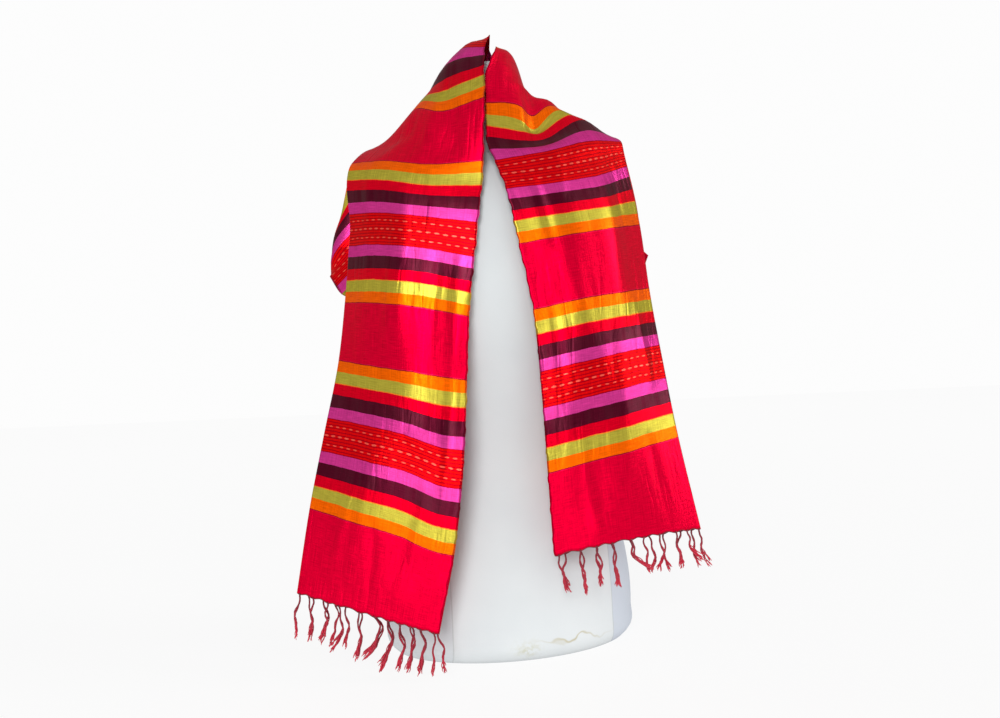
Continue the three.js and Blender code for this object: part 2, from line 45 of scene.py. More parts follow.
def smoothThrough(stations, values, at):
    # a smooth curve through values at uneven stations, straight beyond its ends
    x = np.asarray(stations, float)
    v = np.asarray(values, float).reshape(len(x), -1)
    at = np.atleast_1d(np.asarray(at, float))
    gap = np.diff(x)[:, None]
    rise = np.diff(v, axis=0) / gap
    slope = np.empty_like(v)
    slope[0], slope[-1] = rise[0], rise[-1]
    slope[1:-1] = (rise[:-1] * gap[1:] + rise[1:] * gap[:-1]) / (gap[:-1] + gap[1:])
    inside = np.clip(at, x[0], x[-1])
    i = np.clip(np.searchsorted(x, inside, side="right") - 1, 0, len(x) - 2)
    span = gap[i]
    t = (inside - x[i])[:, None] / span
    start = (2 * t**3 - 3 * t**2 + 1) * v[i] + (t**3 - 2 * t**2 + t) * span * slope[i]
    end = (-2 * t**3 + 3 * t**2) * v[i + 1] + (t**3 - t**2) * span * slope[i + 1]
    beyond = (at - inside)[:, None]
    return start + end + beyond * np.where(beyond < 0, slope[0], slope[-1])


def spreadAlong(places, shares, points=121):
    # points at these shares of the length of a smooth curve through the places
    places = np.asarray(places, float)
    knots = np.concatenate([[0], np.cumsum(np.linalg.norm(np.diff(places, axis=0), axis=1))])
    trail = smoothThrough(knots, places, np.linspace(0, knots[-1], points))
    length = np.concatenate([[0], np.cumsum(np.linalg.norm(np.diff(trail, axis=0), axis=1))])
    return np.stack([np.interp(shares * length[-1], length, trail[:, k]) for k in range(3)], axis=-1)


def columns(rows, at):
    # every column of a table at the given s, as an array of (s, column, xyz)
    stations = [row[0] for row in rows]
    flat = smoothThrough(stations, [np.ravel(row[1:]) for row in rows], at)
    return flat.reshape(len(flat), -1, 3)


def steps(start, end, step):
    return np.linspace(start, end, max(1, round((end - start) / step)) + 1)


def bump(distance, spread):
    return np.exp(-((distance / spread) ** 2))


def fade(value, start, end):
    t = np.clip((np.asarray(value, float) - start) / (end - start), 0, 1)
    return t * t * (3 - 2 * t)


def unit(vectors):
    return vectors / np.linalg.norm(vectors, axis=-1, keepdims=True)


def newPiece(name, points, faces, layer=None, places=None):
    # a smooth piece in metres, with two values kept for each point in a UV layer
    mesh = bpy.data.meshes.new(name)
    mesh.from_pydata([tuple(p) for p in points], [], faces)
    if layer:
        corner = np.empty(len(mesh.loops), int)
        mesh.loops.foreach_get("vertex_index", corner)
        uv = mesh.uv_layers.new(name=layer)
        uv.data.foreach_set("uv", np.asarray(places, float)[corner].ravel())
    mesh.polygons.foreach_set("use_smooth", [True] * len(mesh.polygons))
    piece = bpy.data.objects.new(name, mesh)
    bpy.context.collection.objects.link(piece)
    return piece


class Finish:
    # a material, with short ways to add its nodes
    def __init__(self, name):
        self.material = bpy.data.materials.new(name)
        self.material.use_nodes = True
        self.nodes = self.material.node_tree.nodes
        self.links = self.material.node_tree.links

    def feed(self, socket, value):
        # a number or a colour is set, and what another node gives is linked
        if isinstance(value, (int, float)):
            socket.default_value = value
        elif isinstance(value, tuple):
            socket.default_value = value + (1,)
        elif value is not None:
            self.links.new(value, socket)

    def dress(self, looks):
        for name, value in looks.items():
            self.feed(self.nodes["Principled BSDF"].inputs[name], value)

    def uvLayer(self, name):
        node = self.nodes.new("ShaderNodeUVMap")
        node.uv_map = name
        return node.outputs[0]

    def inObject(self):
        return self.nodes.new("ShaderNodeTexCoord").outputs["Object"]

    def apart(self, vector):
        node = self.nodes.new("ShaderNodeSeparateXYZ")
        self.feed(node.inputs[0], vector)
        return tuple(node.outputs)

    def calc(self, operation, *values, clamp=False):
        node = self.nodes.new("ShaderNodeMath")
        node.operation = operation
        node.use_clamp = clamp
        for socket, value in zip(node.inputs, values):
            self.feed(socket, value)
        return node.outputs[0]

    def sharpened(self, value, gain, offset):
        # value x gain + offset, held between 0 and 1
        return self.calc("MULTIPLY_ADD", value, gain, offset, clamp=True)

    def hill(self, value, centre, spread):
        # 1 at the centre, falling off on both sides
        off = self.calc("DIVIDE", self.calc("SUBTRACT", value, centre), spread)
        return self.calc("EXPONENT", self.calc("MULTIPLY", self.calc("MULTIPLY", off, off), -1))

    def mix(self, amount, a, b, blend="MIX"):
        node = self.nodes.new("ShaderNodeMix")
        node.data_type = "RGBA"
        node.blend_type = blend
        for socket, value in zip((node.inputs[0], node.inputs[6], node.inputs[7]), (amount, a, b)):
            self.feed(socket, value)
        return node.outputs[2]

    def noise(self, where, scale, detail=2):
        node = self.nodes.new("ShaderNodeTexNoise")
        for name, value in (("Vector", where), ("Scale", scale), ("Detail", detail)):
            self.feed(node.inputs[name], value)
        return node.outputs[0]

    def streaks(self, where, along, across, detail):
        # noise with its own scale along and across the cloth
        node = self.nodes.new("ShaderNodeMapping")
        node.inputs["Scale"].default_value = (along, across, 1)
        self.feed(node.inputs[0], where)
        return self.noise(node.outputs[0], 1, detail)

    def relief(self, height, strength, distance, over=None):
        node = self.nodes.new("ShaderNodeBump")
        looks = (("Height", height), ("Strength", strength), ("Distance", distance), ("Normal", over))
        for name, value in looks:
            self.feed(node.inputs[name], value)
        return node.outputs[0]


# the form's sections, in its own turned frame: z, half-breadth, depth in front, depth behind
formSections = [
    (0, 157, 105, 107), (7, 164, 112, 114), (40, 168, 116, 118), (110, 164, 111, 117),
    (200, 141, 96, 98), (270, 127, 90, 86), (350, 134, 100, 88), (430, 147, 112, 94),
    (480, 151, 113, 99), (540, 153, 103, 104), (590, 158, 88, 101), (628, 161, 68, 90),
    (648, 155, 55, 79), (664, 137, 46, 69), (684, 108, 42, 60), (704, 84, 40, 53),
    (722, 64, 38, 47), (738, 49, 35, 43), (752, 41, 33, 40), (768, 35, 29, 35),
    (779, 26, 22, 27), (785, 13, 11, 14),
]
formShape = {
    "turn": math.radians(12),
    "crown": 786.3,          # top of the closed neck
    "around": 160,           # faces round it
    "rise": 6,               # height of a row of faces
}
formTurn = formShape["turn"]


def makeForm():
    around = formShape["around"]
    heights = steps(0, formSections[-1][0], formShape["rise"])
    sections = smoothThrough([row[0] for row in formSections], [row[1:] for row in formSections], heights)
    points, faces = [], []
    for z, (half, front, back) in zip(heights, sections):
        for k in range(around):
            angle = 2 * math.pi * k / around
            x = half * math.cos(angle)
            y = (front if math.sin(angle) < 0 else back) * math.sin(angle)
            points.append((
                (x * math.cos(formTurn) - y * math.sin(formTurn)) * mm,
                (x * math.sin(formTurn) + y * math.cos(formTurn)) * mm,
                z * mm,
            ))
    for i in range(len(heights) - 1):
        for k in range(around):
            a, b = i * around + k, i * around + (k + 1) % around
            faces.append((a, b, b + around, a + around))
    last = (len(heights) - 1) * around
    crown, sole = len(points), len(points) + 1
    points += [(0, 0, formShape["crown"] * mm), (0, 0, 0)]
    for k in range(around):
        after = (k + 1) % around
        faces.append((last + k, last + after, crown))
        faces.append((after, k, sole))
    return newPiece("form_cover", points, faces)


# lengths in metres, and colours
cover = {
    "jersey": ((0.54, 0.57, 0.585), (0.62, 0.645, 0.65)),
    "clouds": (14, 5),                 # scale and detail of the uneven colour
    "knit": (900, 2),
    "seams": (-0.0957, 0.118),         # across the form, in its own turned frame
    "seamHalf": 0.0007,
    "seamColour": (0.36, 0.38, 0.37),
    "seamShare": 0.5,
    # painted shade on the side panels, where they turn away from the light
    "sideShadeColour": (0.44, 0.48, 0.56),
    "sideShadeShares": (0.15, 0.7),         # shares of the painted side shade, beyond the left and the right seam
    "mark": {                          # an oval puckered mark low in front
        "x": 0.020, "z": 0.017, "long": 0.015, "high": 0.009,
        "puckers": (170, 2), "sharp": (4, -1.7), "colour": (0.42, 0.40, 0.24), "share": 0.6,
    },
    "tide": {                          # the wavy edge of a water stain beside it
        "x": 0.078, "z": 0.022, "long": 0.034, "thin": 0.0013,
        "waves": (48, 1), "rise": 0.034, "colour": (0.42, 0.38, 0.25), "share": 0.9,
    },
    "seamDepth": -3,                   # against the knit's own relief of 1
    "markDepth": 4,
    "relief": (0.2, 0.0005),
    "roughness": 0.85,
}


def jerseyMaterial():
    jersey = Finish("stretched jersey")
    where = jersey.inObject()
    x, y, z = jersey.apart(where)
    colour = jersey.mix(jersey.noise(where, *cover["clouds"]), *cover["jersey"])

    # the side panels are painted greyer as painted shade, much more on the right, and a seam parts each from
    # the middle
    own = jersey.calc("MULTIPLY", x, math.cos(formTurn))
    own = jersey.calc("MULTIPLY_ADD", y, math.sin(formTurn), own)
    leftSeam, rightSeam = cover["seams"]
    leftShadeShare, rightShadeShare = cover["sideShadeShares"]
    beyond = jersey.calc("MULTIPLY", jersey.calc("GREATER_THAN", own, rightSeam), rightShadeShare)
    side = jersey.calc("MULTIPLY_ADD", jersey.calc("LESS_THAN", own, leftSeam), leftShadeShare, beyond)
    # painted shade mixed into the colour beyond the seams
    colour = jersey.mix(side, colour, cover["sideShadeColour"])
    seams = [jersey.hill(own, seam, cover["seamHalf"]) for seam in cover["seams"]]
    seams = jersey.calc("MAXIMUM", *seams)
    colour = jersey.mix(jersey.calc("MULTIPLY", seams, cover["seamShare"]), colour, cover["seamColour"])

    inFront = jersey.calc("LESS_THAN", y, 0)
    mark = cover["mark"]
    oval = jersey.hill(x, mark["x"], mark["long"])
    oval = jersey.calc("MULTIPLY", oval, jersey.hill(z, mark["z"], mark["high"]))
    puckers = jersey.sharpened(jersey.noise(where, *mark["puckers"]), *mark["sharp"])
    marked = jersey.calc("MULTIPLY", jersey.calc("MULTIPLY", oval, inFront), puckers)
    colour = jersey.mix(jersey.calc("MULTIPLY", marked, mark["share"]), colour, mark["colour"])

    tide = cover["tide"]
    lowest = tide["z"] - tide["rise"] / 2
    wave = jersey.calc("MULTIPLY_ADD", jersey.noise(where, *tide["waves"]), tide["rise"], lowest)
    line = jersey.hill(jersey.calc("SUBTRACT", z, wave), 0, tide["thin"])
    line = jersey.calc("MULTIPLY", line, jersey.hill(x, tide["x"], tide["long"]))
    line = jersey.calc("MULTIPLY", line, inFront)
    colour = jersey.mix(jersey.calc("MULTIPLY", line, tide["share"]), colour, tide["colour"])

    height = jersey.calc("MULTIPLY_ADD", seams, cover["seamDepth"], jersey.noise(where, *cover["knit"]))
    height = jersey.calc("MULTIPLY_ADD", marked, cover["markDepth"], height)
    jersey.dress({
        "Base Color": colour,
        "Normal": jersey.relief(height, *cover["relief"]),
        "Roughness": cover["roughness"],
    })
    return jersey.material


# the scarf: s runs along the cloth from its left hem, w across it from the neck selvedge
cloth = {
    "length": 1580,
    "halfWidth": 195,
    "thickness": 0.7,
    "step": 4,              # spacing of the mesh along the cloth
    "fine": 3,              # across the shown half
    "coarse": 7,            # across the under half
    "foldRadius": 3.6,      # middle of the cloth round the lengthwise fold
    "foldPoints": 9,        # round that fold, from one layer to the other
    "tipRadius": 0.5,       # radius where the fold reaches a shoulder tip
    "tipFade": 26,          # stretch in which it closes up to that
    "selvedgeSpace": 0.5,   # layer spacing at the selvedges, as a share of that at the fold
    "layerFade": 60,        # stretch in which the under layer leaves or ends
    "hiddenShare": 0.8,     # the under layer's cut there, as a share of the half
    "ease": 4,              # least distance to the form
    "easeBlend": 5,         # softness of the bend where the cloth meets that distance
    "leftTip": 606,         # s at the left shoulder's tip, the nape and the right shoulder's tip
    "nape": 846,
    "rightTip": 1078,
    "sideLeftStart": 463,   # s where the pieces beside the shoulders begin and end in front
    "sideRightEnd": 1215,
    "rootShare": 0.08,      # start of a side piece down the cloth that hangs behind the shoulder
    "sideBlend": 40,        # stretch in which a side piece takes up that cloth's form
    "foldEnds": 0.3,        # each end of a fold, as a share of its length
    "weld": 0.05,
}

# s, then where the shown half lies at its selvedge, inner third, outer third and fold
shownSections = [
    (0, (-87, -165, 55), (-146, -156, 71), (-205, -143, 87), (-263, -128, 103)),
    (110, (-65, -160, 152), (-126, -154, 172), (-186, -139, 190), (-245, -118, 206)),
    (214, (-50, -150, 253), (-112, -149, 271), (-171, -130, 285), (-227, -100, 295)),
    (318, (-41, -139, 356), (-104, -142, 368), (-161, -116, 378), (-209, -75, 387)),
    (398, (-35, -132, 434), (-100, -134, 449), (-156, -103, 458), (-201, -55, 463)),
    (502, (-22, -116, 529), (-88, -115, 542), (-146, -86, 553), (-193, -38, 559)),
    (606, (-10, -91, 632), (-77, -84, 632), (-138, -57, 645), (-189, -14, 653)),
    (646, (-8, -83, 675), (-75, -64, 673), (-134, -12, 683), (-167, 20, 679)),
    (686, (-5, -74, 719), (-59, -54, 709), (-102, -8, 724), (-140, 50, 674)),
    (732, (-4, -53, 766), (-57, -25, 758), (-88, 28, 750), (-104, 74, 688)),
    (752, (-3, -40, 785), (-50, -16, 785), (-81, 36, 751), (-90, 82, 687)),
    (767, (-2, -28, 799), (-38, 4, 806), (-62, 48, 754), (-78, 88, 686)),
    (778, (1, -21, 809), (-25, 13, 818), (-53, 57, 760), (-66, 94, 686)),
    (790, (5, -12, 820), (-12, 28, 817), (-40, 64, 758), (-54, 99, 686)),
    (812, (4, 10, 810), (-8, 46, 794), (-24, 78, 742), (-33, 106, 680)),
    (846, (9, 31, 802), (8, 60, 766), (5, 84, 712), (6, 111, 648)),
    (880, (13, -3, 807), (27, 24, 805), (36, 72, 728), (46, 104, 664)),
    (902, (11, -24, 795), (33, 8, 799), (50, 58, 740), (70, 94, 679)),
    (938, (-3, -46, 757), (36, -22, 753), (66, 30, 730), (106, 78, 673)),
    (956, (-4, -51, 738), (44, -26, 742), (78, 8, 737), (120, 64, 672)),
    (974, (-5, -57, 715), (48, -38, 717), (90, -2, 722), (134, 50, 671)),
    (1000, (-5, -66, 688), (60, -42, 684), (110, -4, 710), (148, 38, 674)),
    (1026, (-5, -75, 662), (62, -56, 660), (137, -3, 696), (165, 23, 682)),
    (1052, (3, -90, 635), (68, -80, 645), (130, -40, 666), (178, 2, 672)),
    (1078, (11, -102, 612), (75, -92, 620), (131, -54, 636), (181, -5, 654)),
    (1182, (29, -122, 522), (97, -113, 532), (153, -74, 543), (197, -22, 553)),
    (1262, (43, -129, 438), (107, -122, 450), (160, -88, 458), (203, -40, 465)),
    (1366, (49, -135, 340), (111, -132, 352), (166, -104, 362), (213, -62, 368)),
    (1470, (52, -139, 239), (114, -138, 252), (172, -117, 263), (225, -82, 271)),
    (1580, (55, -142, 137), (120, -143, 149), (184, -128, 155), (245, -100, 155)),
]

# s, then the under half behind the shoulders, halfway down and at its selvedge
backSections = [
    (606, (-214, 38, 570), (-214, 90, 478)),
    (646, (-188, 72, 586), (-190, 112, 486)),
    (686, (-156, 100, 582), (-160, 126, 488)),
    (732, (-116, 116, 592), (-120, 138, 496)),
    (767, (-87, 124, 592), (-88, 142, 495)),
    (790, (-60, 128, 588), (-64, 144, 488)),
    (846, (3, 134, 554), (-1, 146, 460)),
    (902, (72, 126, 582), (64, 142, 484)),
    (938, (108, 112, 578), (98, 134, 484)),
    (974, (142, 92, 576), (134, 120, 484)),
    (1026, (182, 58, 582), (178, 90, 486)),
    (1078, (202, 26, 566), (206, 52, 480)),
]

# s, then the under half beside a shoulder: behind the fold, halfway down and at its selvedge
leftSideSections = [
    (463, (-150, -6, 536), (-184, -8, 504), (-213, -2, 478)),
    (479, (-156, -2, 548), (-190, -4, 516), (-220, 6, 490)),
    (502, (-162, 2, 566), (-200, 2, 528), (-230, 16, 504)),
    (525, (-166, 4, 588), (-225, 10, 529), (-233, 36, 504)),
    (541, (-168, 5, 604), (-223, 12, 547), (-232, 52, 498)),
    (570, (-174, 4, 630), (-220, 18, 568), (-227, 70, 486)),
    (606, (-186, 4, 648), (-214, 38, 570), (-214, 90, 478)),
]
rightSideSections = [
    (1078, (176, 12, 650), (202, 26, 566), (206, 52, 480)),
    (1120, (170, 12, 624), (197, 16, 560), (207, 32, 488)),
    (1160, (164, 8, 594), (192, 8, 546), (206, 14, 500)),
    (1215, (156, 2, 552), (186, 0, 534), (209, 0, 513)),
]

# largest folds: from s, to s, w, spread across, how far out and how far up they move the cloth
shownFolds = [
    (20, 260, 60, 26, -4, 0),
    (40, 340, 28, 40, 0, -7.5),
    (300, 620, 92, 16, 4, 0),
    (600, 700, 46, 20, -5, 0),
    (940, 1012, 72, 20, -6, -16),
    (1060, 1330, 118, 24, 4, 0),
    (1330, 1570, 60, 24, -4, 0),
]
# pressed creases: from s, to s, w at each of those ends, half-width, height (a trough is negative)
creases = [
    (300, 640, 104, 102, 34, 2.6),
    (20, 300, 128, 108, 40, 3.0),
    (30, 150, 150, 138, 12, 2.2),
    (10, 120, 96, 104, 10, -2.0),
    (20, 200, 60, 44, 14, 1.8),
    (120, 330, 24, 20, 9, -1.6),
    (330, 560, 20, 14, 9, -1.8),
    (330, 470, 46, 42, 6, 1.2),
    (520, 600, 26, 22, 5, -1.2),
    (540, 610, 62, 66, 4, 1.1),
    (560, 620, 84, 80, 4, -1.1),
    (500, 620, 152, 146, 14, 1.6),
    (610, 720, 84, 66, 16, 2.2),
    (620, 700, 118, 100, 10, -1.8),
    (650, 760, 34, 30, 10, 1.6),
    (690, 780, 58, 44, 7, -1.4),
    (880, 990, 26, 22, 11, 1.9),
    (960, 1060, 52, 46, 9, 1.9),
    (1010, 1130, 88, 60, 14, 2.2),
    (1060, 1200, 34, 42, 10, -1.8),
    (1080, 1260, 132, 118, 30, 2.0),
    (1240, 1400, 104, 100, 16, -1.2),
    (1090, 1180, 160, 150, 8, -1.4),
    (1180, 1330, 52, 66, 20, 2.4),
    (1250, 1400, 26, 30, 9, -1.5),
    (1270, 1400, 150, 160, 12, 2.0),
    (1360, 1560, 112, 96, 34, 3.2),
    (1420, 1570, 46, 56, 12, 1.9),
    (1450, 1570, 142, 150, 12, -1.9),
]
crease = {
    "ends": 0.6,     # power: below 1, a crease keeps its height nearly to its ends
    "top": 1.2,      # roundness of its top, in mm
    "sides": 1.3,    # power: above 1, its foot runs out softly
}
# flutes of the under half on the back: s, spread, depth at its selvedge
backFlutes = [(668, 24, -9), (728, 26, 8), (800, 30, -12), (868, 28, 9), (940, 28, -10), (1010, 26, 7)]

# w where each strand leaves the hem, drop, drift, bow and the layer it belongs to
leftStrands = [
    (2, 46, 5, 3, "under"), (7, 49, -4, 2, "shown"), (24, 52, -4, 3, "both"),
    (37, 54, -7, 3, "both"), (52, 56, -4, 4, "both"), (67, 58, -12, 4, "both"),
    (86, 50, -15, 9, "both"), (106, 57, -7, 2, "both"), (127, 50, -4, 2, "under"),
    (135, 53, -12, 8, "shown"), (143, 52, -7, 3, "under"), (150, 42, -8, 1, "shown"),
    (159, 54, -7, 4, "under"), (171, 48, -7, 1, "shown"), (182, 57, 0, 5, "under"),
    (190, 53, -7, -3, "shown"),
]
rightStrands = [
    (6, 44, 7, 2, "shown"), (14, 46, 4, -4, "under"), (32, 52, 5, 2, "both"),
    (52, 47, 4, 2, "both"), (71, 54, 6, 2, "both"), (95, 38, 24, -3, "both"),
    (112, 42, 3, 0, "shown"), (119, 45, 3, 8, "under"), (132, 43, -4, 5, "shown"),
    (142, 47, 6, -3, "under"), (155, 44, 4, 3, "shown"), (167, 45, 2, -2, "under"),
    (173, 36, 17, -3, "shown"), (185, 46, 8, -2, "under"), (191, 45, 13, -3, "shown"),
]
hem = {"reach": 12, "rise": 2.6, "root": 6.5}     # the weft is drawn down at each strand
selvedge = {"swing": 1.1, "long": 6.5, "short": 2.9, "drift": 23, "reach": 14}    # it wavers in and out


def clearOfForm(points, ease):
    # moves points of the cloth out until they clear the form
    turn = np.array([[math.cos(formTurn), math.sin(formTurn)], [-math.sin(formTurn), math.cos(formTurn)]])
    local = points[..., :2] @ turn.T
    z = points[..., 2]
    section = smoothThrough([row[0] for row in formSections], [row[1:] for row in formSections], z.ravel())
    section = section.reshape(z.shape + (3,))
    depth = np.where(local[..., 1] < 0, section[..., 1], section[..., 2])
    reach = np.hypot(local[..., 0] / section[..., 0], local[..., 1] / depth)
    radius = np.hypot(local[..., 0], local[..., 1])
    wanted = radius / reach + ease
    over = radius - wanted
    softened = wanted + (over + np.hypot(over, cloth["easeBlend"])) / 2
    grown = local * (softened / radius)[..., None]
    result = points.copy()
    result[..., :2] = np.where((z > formSections[-1][0])[..., None], points[..., :2], grown @ turn)
    return result


def normalsOf(grid):
    return unit(np.cross(np.gradient(grid, axis=0), np.gradient(grid, axis=1)))


def outward(points):
    return unit(points * [1, 1, 0])


def layersAt(s):
    # 1 where two layers lie in front, 0 over the shoulders and the back
    left = 1 - fade(s, cloth["leftTip"] - cloth["layerFade"], cloth["leftTip"])
    right = fade(s, cloth["rightTip"], cloth["rightTip"] + cloth["layerFade"])
    return np.maximum(left, right)


def foldMove(s, w):
    # how far the folds move each point out and up
    move = np.zeros(np.broadcast(s, w).shape + (2,))
    for start, end, centre, spread, depth, lift in shownFolds:
        ends = (end - start) * cloth["foldEnds"]
        along = fade(s, start, start + ends) * (1 - fade(s, end - ends, end))
        move += (along * bump(w - centre, spread))[..., None] * [depth, lift]
    return move


def creaseHeight(s, w):
    # a pressed crease has straight sides and a narrow rounded top
    height = np.zeros(np.broadcast(s, w).shape)
    for start, end, wStart, wEnd, spread, rise in creases:
        share = np.clip((s - start) / (end - start), 0, 1)
        inside = np.sin(math.pi * share) ** crease["ends"]
        away = np.hypot(w - (wStart + (wEnd - wStart) * share), crease["top"]) / spread
        height += rise * inside * np.clip(1 - away, 0, None) ** crease["sides"]
    return height


def shownGrid(s, shares, creased=False):
    # the shown half: s is a list, shares a grid of the same number of rows
    places = columns(shownSections, s)
    grid = np.array([spreadAlong(places[i], shares[i]) for i in range(len(s))])
    w = shares * cloth["halfWidth"]
    move = foldMove(s[:, None], w)
    if creased:
        move[..., 0] += creaseHeight(s[:, None], w)
    grid = grid + outward(grid) * move[..., :1]
    grid[..., 2] += move[..., 1]
    ease = cloth["ease"] + 2 * cloth["foldRadius"] * layersAt(s)
    return clearOfForm(grid, ease[:, None])


def radiusAt(s):
    # the fold closes up as it nears a shoulder tip
    reach = np.where(s < cloth["nape"], cloth["leftTip"] - s, s - cloth["rightTip"])
    return cloth["tipRadius"] + (cloth["foldRadius"] - cloth["tipRadius"]) * fade(reach, 0, cloth["tipFade"])


def spacingAt(share, radius):
    # distance between the layers, at a share of the way from selvedge to fold
    return 2 * radius * (cloth["selvedgeSpace"] + (1 - cloth["selvedgeSpace"]) * share)


def scallop(w, strands, layer):
    # how far the hem is lifted between the strands of a layer
    roots = np.array([row[0] for row in strands if row[4] in (layer, "both")], float)
    away = np.abs(w[:, None] - roots[None, :]).min(axis=1)
    return hem["rise"] * (1 - bump(away, hem["root"]))


def scalloped(grid, s, w, layer):
    result = grid.copy()
    for end, strands, along in ((0, leftStrands, 1), (cloth["length"], rightStrands, -1)):
        for i in np.flatnonzero(np.abs(s - end) < hem["reach"]):
            lift = scallop(w[i], strands, layer) * (1 - abs(s[i] - end) / hem["reach"])
            result[i] = grid[i] + unit(grid[i + along] - grid[i]) * lift[:, None]
    return result


def wavered(grid, s, w):
    # the free selvedge goes a little in and out
    swing = np.sin(s / selvedge["long"]) + np.sin(s / selvedge["short"] + np.sin(s / selvedge["drift"]))
    near = np.clip(1 - w / selvedge["reach"], 0, 1)
    move = selvedge["swing"] / 2 * swing[:, None] * near
    return grid + unit(grid[:, :1] - grid[:, 1:2]) * move[..., None]


class Sheet:
    # collects grids of cloth, each point with its place s, w on the flat cloth
    def __init__(self):
        self.points, self.flat, self.faces = [], [], []

    def add(self, grid, s, w):
        rows, cols = grid.shape[:2]
        first = len(self.points)
        self.points.extend(grid.reshape(-1, 3) * mm)
        self.flat.extend(np.stack(np.broadcast_arrays(s, w), axis=-1).reshape(-1, 2) * mm)
        for i in range(rows - 1):
            for j in range(cols - 1):
                a = first + i * cols + j
                self.faces.append((a, a + cols, a + cols + 1, a + 1))


def addFront(sheet, s, shown, normals, under):
    # an end in front: round the fold and back behind the shown half
    half = cloth["halfWidth"]
    edge, out = shown[:, -1], normals[:, -1]
    sideways = unit(edge - shown[:, -2])
    radius = radiusAt(s)[:, None]
    angles = np.linspace(0, math.pi, cloth["foldPoints"])[:-1]
    turn = [edge + radius * (out * (math.cos(a) - 1) + sideways * math.sin(a)) for a in angles]
    turnW = half + np.linspace(-1, 1, cloth["foldPoints"])[None, :-1] * radius
    if s[0] < cloth["nape"]:
        leaving = fade(s, cloth["sideLeftStart"] - cloth["layerFade"], cloth["sideLeftStart"])
    else:
        leaving = 1 - fade(s, cloth["sideRightEnd"], cloth["sideRightEnd"] + cloth["layerFade"])
    inner = (cloth["hiddenShare"] * leaving)[:, None]
    shares = inner + (1 - radius / half - inner) * under[None, ::-1]
    behind = shownGrid(s, shares)
    behind = behind + normalsOf(behind) * spacingAt(shares, radius)[..., None]
    behind = scalloped(behind, s, shares * half, "under")
    grid = np.concatenate([np.stack(turn, axis=1), behind], axis=1)
    sheet.add(grid, s[:, None], np.concatenate([turnW, 2 * half - shares * half], axis=1))


def addBack(sheet, s, folds, under):
    # over the shoulders and the back: the under half hangs from the fold
    down = columns(backSections, s)
    flute = sum(depth * bump(s - at, spread) for at, spread, depth in backFlutes)
    hanging = np.array([spreadAlong([folds[i], down[i, 0], down[i, 1]], under) for i in range(len(s))])
    hanging += outward(hanging) * (flute[:, None] * fade(under, 0, 1))[..., None]
    hanging[:, 1:] = clearOfForm(hanging, cloth["ease"])[:, 1:]
    sheet.add(hanging, s[:, None], cloth["halfWidth"] * (1 + under))
    return hanging


def addSide(sheet, rows, tip, start, end, tipRow, under):
    # beside a shoulder: the under half, going over into the row that hangs at the shoulder's tip
    s = steps(start, end, cloth["step"])
    places = columns(rows, s)
    own = np.array([spreadAlong(row, under) for row in places])
    below = cloth["rootShare"] + (1 - cloth["rootShare"]) * under
    trail = np.stack([np.interp(below, under, tipRow[:, k]) for k in range(3)], axis=-1)
    moved = trail[None] + (places[:, 1] - columns(rows, [tip])[0, 1])[:, None, :]
    joined = 1 - fade(np.abs(s - tip), 0, cloth["sideBlend"])[:, None, None]
    own = clearOfForm(own * (1 - joined) + moved * joined, cloth["ease"])
    length = np.linalg.norm(np.diff(own, axis=1), axis=-1).sum(axis=1)[:, None]
    sheet.add(own, s[:, None], 2 * cloth["halfWidth"] - length * (1 - under))


def makeScarf():
    half, leftTip, rightTip = cloth["halfWidth"], cloth["leftTip"], cloth["rightTip"]
    across = steps(0, 1, cloth["fine"] / half)
    under = steps(0, 1, cloth["coarse"] / half)
    sheet = Sheet()

    # the shown half, in one run from hem to hem
    s = np.concatenate([
        steps(0, leftTip, cloth["step"])[:-1],
        steps(leftTip, rightTip, cloth["step"])[:-1],
        steps(rightTip, cloth["length"], cloth["step"]),
    ])
    onBack = (s >= leftTip) & (s <= rightTip)
    shares = across * (1 - np.where(onBack, 0, radiusAt(s)) / half)[:, None]
    normals = normalsOf(shownGrid(s, shares))
    shown = wavered(shownGrid(s, shares, creased=True), s, shares * half)
    shown = scalloped(shown, s, shares * half, "shown")
    sheet.add(shown, s[:, None], shares * half)

    for ends in (s <= leftTip, s >= rightTip):
        addFront(sheet, s[ends], shown[ends], normals[ends], under)
    hanging = addBack(sheet, s[onBack], shown[onBack][:, -1], under)
    addSide(sheet, leftSideSections, leftTip, cloth["sideLeftStart"], leftTip, hanging[0], under)
    addSide(sheet, rightSideSections, rightTip, rightTip, cloth["sideRightEnd"], hanging[-1], under)

    piece = newPiece("scarf", sheet.points, sheet.faces, "cloth", sheet.flat)
    weld = piece.modifiers.new("weld", "WELD")
    weld.merge_threshold = cloth["weld"] * mm
    body = piece.modifiers.new("body", "SOLIDIFY")
    body.thickness = cloth["thickness"] * mm
    body.offset = 0
    graph = bpy.context.evaluated_depsgraph_get()
    done = bpy.data.meshes.new_from_object(piece.evaluated_get(graph))
    piece.modifiers.clear()
    loose = piece.data
    piece.data = done
    bpy.data.meshes.remove(loose)
    return piece


